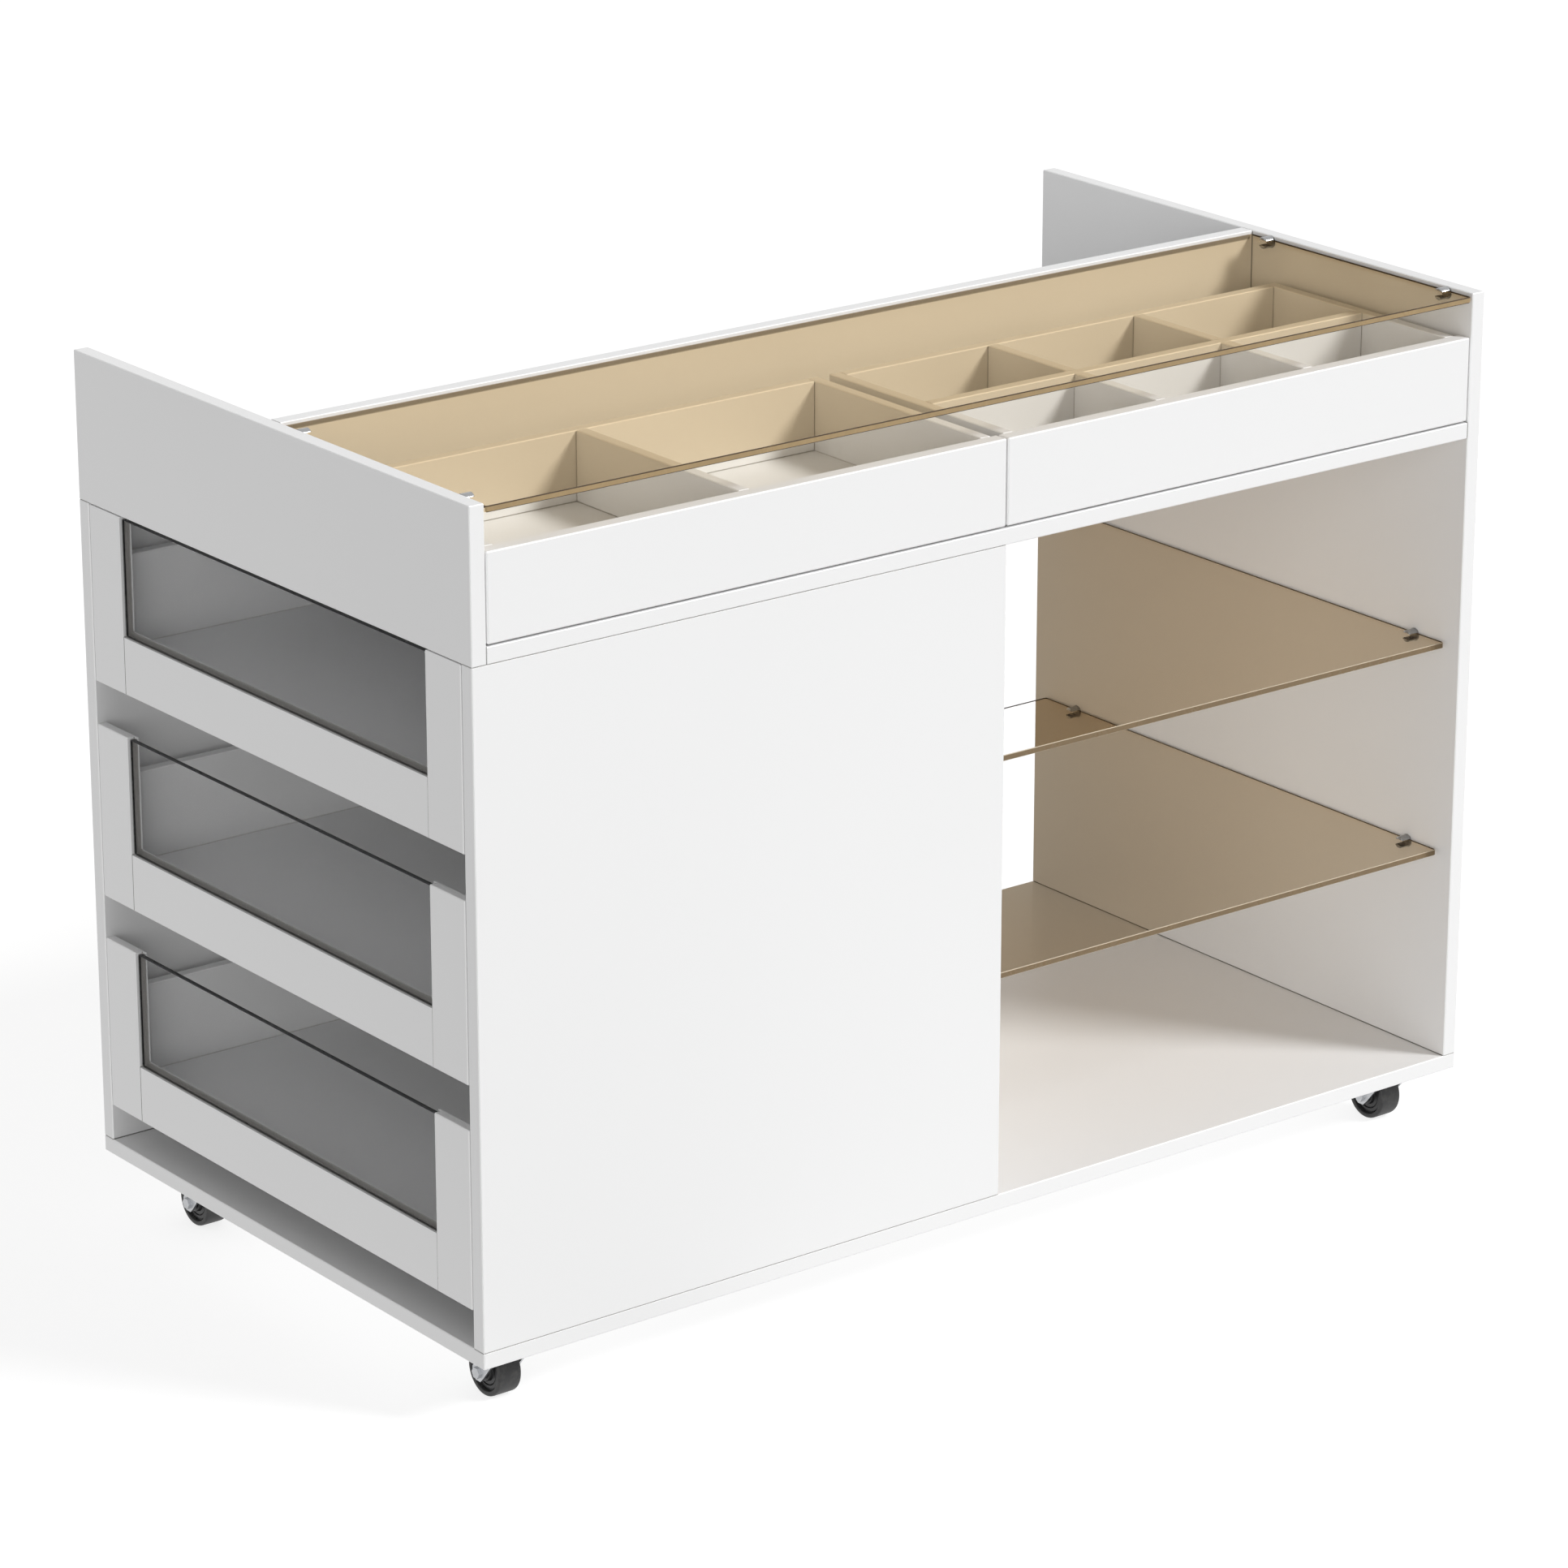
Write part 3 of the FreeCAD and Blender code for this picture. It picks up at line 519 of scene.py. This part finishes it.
# Repeated fittings: a Geometry Nodes tree sets one pattern piece on every marked point.
def repeatTree(name, sizeNames):
    tree = bpy.data.node_groups.new(name, "GeometryNodeTree")
    tree.interface.new_socket("Geometry", in_out="INPUT", socket_type="NodeSocketGeometry")
    tree.interface.new_socket("Pattern", in_out="INPUT", socket_type="NodeSocketObject")
    tree.interface.new_socket("Finish", in_out="INPUT", socket_type="NodeSocketMaterial")
    for label in sizeNames:
        tree.interface.new_socket(label, in_out="INPUT", socket_type="NodeSocketFloat")
    tree.interface.new_socket("Geometry", in_out="OUTPUT", socket_type="NodeSocketGeometry")
    start = tree.nodes.new("NodeGroupInput")
    finish = tree.nodes.new("NodeGroupOutput")
    pattern = tree.nodes.new("GeometryNodeObjectInfo")
    turn = tree.nodes.new("GeometryNodeInputNamedAttribute")
    turn.data_type = "FLOAT_VECTOR"
    turn.inputs["Name"].default_value = "turn"
    stretch = tree.nodes.new("ShaderNodeCombineXYZ")
    place = tree.nodes.new("GeometryNodeInstanceOnPoints")
    real = tree.nodes.new("GeometryNodeRealizeInstances")
    coat = tree.nodes.new("GeometryNodeSetMaterial")
    for source, target in (
        (start.outputs["Geometry"], place.inputs["Points"]),
        (start.outputs["Pattern"], pattern.inputs["Object"]),
        (pattern.outputs["Geometry"], place.inputs["Instance"]),
        (turn.outputs["Attribute"], place.inputs["Rotation"]),
        (start.outputs[sizeNames[0]], stretch.inputs["X"]),
        (start.outputs[sizeNames[1]], stretch.inputs["Y"]),
        (start.outputs[sizeNames[1]], stretch.inputs["Z"]),
        (stretch.outputs["Vector"], place.inputs["Scale"]),
        (place.outputs["Instances"], real.inputs["Geometry"]),
        (real.outputs["Geometry"], coat.inputs["Geometry"]),
        (start.outputs["Finish"], coat.inputs["Material"]),
        (coat.outputs["Geometry"], finish.inputs["Geometry"]),
    ):
        tree.links.new(source, target)
    return tree


fittingChoices = {
    "smoothUpTo": 35,
}


def setOut(name, tree, spots, pattern, finish, sizes, body):
    # Every spot is a place and a turn about X, Y and Z.
    mesh = bpy.data.meshes.new(name + "Spots")
    mesh.from_pydata([place for place, turn in spots], [], [])
    turns = mesh.attributes.new("turn", "FLOAT_VECTOR", "POINT")
    for item, (place, turn) in zip(turns.data, spots):
        item.vector = turn
    marks = addObject(name + "Spots", mesh)
    nodes = marks.modifiers.new("setOut", "NODES")
    nodes.node_group = tree
    values = {"Pattern": pattern, "Finish": finish, **sizes}
    for item in tree.interface.items_tree:
        if item.in_out == "INPUT" and item.name in values:
            nodes[item.identifier] = values[item.name]
    made = appliedMesh(marks)
    made.name = name
    marks.modifiers.remove(nodes)
    bpy.data.objects.remove(marks)
    bpy.data.objects.remove(pattern)
    piece = addObject(name, made)
    smoothUpTo(made, fittingChoices["smoothUpTo"])
    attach(piece, body)
    return piece


# Glass clips: a half-round jaw above and below the glass, joined by a disc at the board.
clipChoices = {
    "radius": 0.006,
    "reach": 0.012,
    "web": 0.0012,
    "slot": 0.006,
    "round": 0.0012,
    "flatShare": 0.6,
    "arcSteps": 20,
    "roundSteps": 5,
    "discSteps": 48,
    "topRows": (-0.289, -0.033),
    "shelfInset": 0.034,
}


def clipJaw(build, side):
    radius, half = clipChoices["radius"], clipChoices["slot"] / 2
    soft = clipChoices["round"]
    sections = [(0.0, 0.0)]
    for step in range(clipChoices["roundSteps"] + 1):
        angle = math.radians(90 * step / clipChoices["roundSteps"])
        sections.append((clipChoices["reach"] - soft * (1 - math.sin(angle)), soft * (1 - math.cos(angle))))
    rings = []
    for x, inset in sections:
        flat, arc = half + inset * clipChoices["flatShare"], radius - inset
        start = math.asin(min(flat / arc, 1))
        ring = []
        for step in range(clipChoices["arcSteps"] + 1):
            angle = start + (math.pi - 2 * start) * step / clipChoices["arcSteps"]
            ring.append(build.verts.new((x, arc * math.cos(angle), side * arc * math.sin(angle))))
        rings.append(ring)
    joinRings(build, rings)
    build.faces.new(rings[0])
    build.faces.new(rings[-1])


def makeClips():
    radius, slot, web = clipChoices["radius"], clipChoices["slot"], clipChoices["web"]
    build = bmesh.new()
    clipJaw(build, 1)
    clipJaw(build, -1)
    disc = bmesh.ops.create_cone(build, cap_ends=True, segments=clipChoices["discSteps"],
                                 radius1=radius, radius2=radius, depth=web)["verts"]
    bmesh.ops.rotate(build, verts=disc, cent=(0, 0, 0), matrix=Matrix.Rotation(math.pi / 2, 3, "Y"))
    bmesh.ops.translate(build, verts=disc, vec=(web / 2, 0, 0))
    bmesh.ops.recalc_face_normals(build, faces=build.faces)
    pattern = bpy.data.objects.new("clipPattern", meshFrom("clipPattern", build))
    low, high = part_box("glass_clips")
    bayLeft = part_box("inner_end_panel")[1].x
    shelfLow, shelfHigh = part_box("glass_shelves")
    spots = []
    for left, rows, levels in (
        (low.x, clipChoices["topRows"], (high.z - radius,)),
        (bayLeft, (low.y + clipChoices["shelfInset"], high.y - radius),
         (shelfLow.z + slot / 2, shelfHigh.z - slot / 2)),
    ):
        for y in rows:
            for z in levels:
                spots.append(((left, y, z), (0, 0, 0)))
                spots.append(((high.x, y, z), (0, 0, math.pi)))
    tree = repeatTree("clipRow", ("Reach Factor", "Width Factor"))
    piece = setOut("glassClipSet", tree, spots, pattern, clipChrome,
                   {"Reach Factor": 1.0, "Width Factor": 1.0}, "chest")
    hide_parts("glass_clips")
    print("clips set out:", len(spots))


makeClips()


# Caster screws: a pan head with a cross recess, four to each plate.
screwChoices = {
    "headRadius": 0.0040,
    "headHeight": 0.0022,
    "headSteps": 32,
    "headSection": ((0, 1.0), (0.35, 1.0), (0.62, 0.94), (0.84, 0.80), (0.96, 0.60), (1.0, 0.34)),
    "crossLength": 0.0046,
    "crossWidth": 0.0011,
    "crossDepth": 0.0014,
    "spread": 0.044,
    "plateHalf": 0.030,
    "plateThick": 0.0025,
    "turnShares": (0.35, 0.8, 11),
}


def makeScrews():
    radius, height = screwChoices["headRadius"], screwChoices["headHeight"]
    steps = screwChoices["headSteps"]
    build = bmesh.new()
    rings = []
    for level, reach in screwChoices["headSection"]:
        rings.append([build.verts.new((radius * reach * math.cos(math.tau * step / steps),
                                       radius * reach * math.sin(math.tau * step / steps),
                                       -height * level)) for step in range(steps)])
    joinRings(build, rings)
    build.faces.new(rings[0])
    build.faces.new(rings[-1])
    bmesh.ops.recalc_face_normals(build, faces=build.faces)
    head = addObject("screwPattern", meshFrom("screwPattern", build))
    length, width = screwChoices["crossLength"], screwChoices["crossWidth"]
    cutters = []
    for index, size in enumerate(((length, width), (width, length))):
        cutter = bmesh.new()
        bmesh.ops.create_cube(cutter, size=1)
        bmesh.ops.scale(cutter, verts=cutter.verts, vec=(*size, 2 * screwChoices["crossDepth"]))
        bmesh.ops.translate(cutter, verts=cutter.verts, vec=(0, 0, -height))
        holder = addObject("crossCut", meshFrom("crossCut", cutter))
        recess = head.modifiers.new(f"recess{index}", "BOOLEAN")
        recess.operation = "DIFFERENCE"
        recess.object = holder
        cutters.append(holder)
    recessed = appliedMesh(head)
    for holder in (*cutters, head):
        bpy.data.objects.remove(holder)
    pattern = bpy.data.objects.new("screwPattern", recessed)
    low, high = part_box("caster_plates")
    half, spread = screwChoices["plateHalf"], screwChoices["spread"] / 2
    under = high.z - screwChoices["plateThick"]
    alongX, alongY, byPlate = screwChoices["turnShares"]
    spots = []
    for x in (low.x + half, high.x - half):
        for y in (low.y + half, high.y - half):
            for sx in (-1, 1):
                for sy in (-1, 1):
                    # No two heads stop at the same angle.
                    turn = alongX * sx + alongY * sy + byPlate * x * y
                    spots.append(((x + sx * spread, y + sy * spread, under), (0, 0, turn)))
    tree = repeatTree("screwRow", ("Width Factor", "Height Factor"))
    setOut("casterScrewSet", tree, spots, pattern, zincBolt,
           {"Width Factor": 1.0, "Height Factor": 1.0}, "chest")
    print("screws set out:", len(spots))


makeScrews()


# Caster wheels: one turned section, closed round the bore. Widths from the middle and radii in mm.
wheelChoices = {
    "turns": 96,
    "halfSection": [
        (13.5, 3.1), (13.5, 9.3), (13.3, 9.8), (12.8, 10.1), (9.6, 10.4), (9.15, 10.7), (9.0, 11.2),
        (9.0, 13.7), (8.8, 14.0), (8.0, 14.2), (7.8, 14.5), (8.0, 14.8), (9.3, 15.0), (9.6, 15.3),
        (9.6, 18.3), (9.4, 18.7), (8.3, 19.0), (7.9, 19.4), (8.1, 19.8), (9.0, 20.0),
        (11.6, 20.15), (12.1, 20.4), (12.4, 20.8), (12.5, 21.3), (12.5, 22.9), (12.4, 23.6),
        (12.1, 24.2), (11.6, 24.62), (10.9, 24.87), (10.0, 24.97), (5.0, 25.0),
    ],
    "rubberFrom": 19.9,
    "smoothUpTo": 32,
}
wheelCentres = {joint["child"]: Vector(joint["pos_m"]) for joint in frame["joints"]
                if joint["name"].endswith("_roll")}


def makeWheel(name, body, node):
    centre = wheelCentres[body]
    half = [(x / 1000, radius / 1000) for x, radius in wheelChoices["halfSection"]]
    section = half + [(-x, radius) for x, radius in reversed(half)]
    turns = wheelChoices["turns"]
    build = bmesh.new()
    rings = []
    for x, radius in section:
        ring = []
        for step in range(turns):
            angle = 2 * math.pi * step / turns
            ring.append(build.verts.new((centre.x + x, centre.y + radius * math.cos(angle),
                                         centre.z + radius * math.sin(angle))))
        rings.append(ring)
    for index, face in enumerate(joinRings(build, rings + rings[:1])):
        near, far = index // turns, (index // turns + 1) % len(section)
        middle = (section[near][1] + section[far][1]) / 2
        face.material_index = 0 if middle > wheelChoices["rubberFrom"] / 1000 else 1
    bmesh.ops.recalc_face_normals(build, faces=build.faces)
    piece = addObject(name, meshFrom(name, build))
    for finish in (tyreRubber, discPlastic):
        piece.data.materials.append(finish)
    smoothUpTo(piece.data, wheelChoices["smoothUpTo"])
    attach(piece, body)
    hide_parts(node)


for row, side in casterCorners:
    makeWheel(f"{row}{side.title()}Wheel", f"{row}_{side}_roller", f"{row}_{side}_wheel")
print("wheels made")


# Floor, backdrop and light
stageChoices = {
    "ambient": 0.40,
    "sunStrength": 2.30,
    "sunFrom": (0.50, -0.605, 0.62),
    "sunAngle": 16,
    "fillStrength": 0.86,
    "fillFrom": (-0.74, -0.66, 0.06),
    "fillAngle": 44,
    "floorAlbedo": 0.35,
    "floorLift": 0.78,
    "floorBounce": 0.73,
    "floorSize": 40,
}


def behindGlass(finish):
    # The photograph's backdrop stays white behind the shelves, so it makes up for their tint.
    faces = finish.path("Transparent Depth") * finish.path("Is Camera Ray")
    return [(1 / math.sqrt(part)) ** faces for part in glassChoices["bronzeShelf"]]


def makeFloor():
    build = bmesh.new()
    reach = stageChoices["floorSize"]
    build.faces.new([build.verts.new(spot) for spot in (
        (-reach, -reach, 0), (reach, -reach, 0), (reach, reach, 0), (-reach, reach, 0))])
    floor = addObject("paleFloor", meshFrom("paleFloor", build))
    finish = Finish("paleFloorFinish")
    clear = behindGlass(finish)
    matt = finish.node("ShaderNodeBsdfDiffuse", inputs={
        "Color": finish.node("ShaderNodeCombineColor", inputs={
            place: channel * stageChoices["floorAlbedo"] for place, channel in enumerate(clear)})})
    lift = finish.node("ShaderNodeCombineColor", inputs={
        place: finish.seenRay() * channel * stageChoices["floorLift"]
        for place, channel in enumerate(clear)})
    glow = finish.node("ShaderNodeEmission", inputs={"Color": lift})
    shown = finish.node("ShaderNodeAddShader", inputs={0: matt, 1: glow})
    even = finish.node("ShaderNodeEmission", inputs={"Strength": stageChoices["floorBounce"]})
    floor.data.materials.append(finish.end(finish.either(finish.path("Is Diffuse Ray"), shown, even)))


def makeWorld():
    world = bpy.data.worlds.new("paleRoom")
    scene.world = world
    finish = Finish("paleRoom", world)
    plain = finish.node("ShaderNodeBackground", inputs={
        "Color": (1, 1, 1, 1), "Strength": stageChoices["ambient"]})
    clear = finish.node("ShaderNodeCombineColor", inputs=dict(enumerate(behindGlass(finish))))
    shown = finish.node("ShaderNodeBackground", inputs={"Color": clear, "Strength": 1.0})
    finish.node("ShaderNodeOutputWorld", inputs={
        "Surface": finish.either(finish.seenRay(), plain, shown)})


def makeLamp(name, strength, comesFrom, angle):
    lamp = bpy.data.lights.new(name, "SUN")
    lamp.energy = strength
    lamp.angle = math.radians(angle)
    holder = addObject(name, lamp)
    holder.rotation_euler = (-Vector(comesFrom)).to_track_quat("-Z", "Y").to_euler()


makeFloor()
makeWorld()
makeLamp("softWindow", stageChoices["sunStrength"], stageChoices["sunFrom"], stageChoices["sunAngle"])
makeLamp("paleScreen", stageChoices["fillStrength"], stageChoices["fillFrom"], stageChoices["fillAngle"])

cameraChoices = {
    "place": (-3.4014, -4.4097, 2.3454),
    "turn": (70.75, 0, -37.57),
    "lens": 138.15,
    "sensor": 36,
    "nearest": 0.1,
    "farthest": 200,
}
lens = bpy.data.cameras.new("photoView")
lens.lens = cameraChoices["lens"]
lens.sensor_width = cameraChoices["sensor"]
lens.clip_start = cameraChoices["nearest"]
lens.clip_end = cameraChoices["farthest"]
camera = addObject("photoView", lens)
camera.location = cameraChoices["place"]
camera.rotation_euler = [math.radians(part) for part in cameraChoices["turn"]]
scene.camera = camera
print("floor, light and camera made")
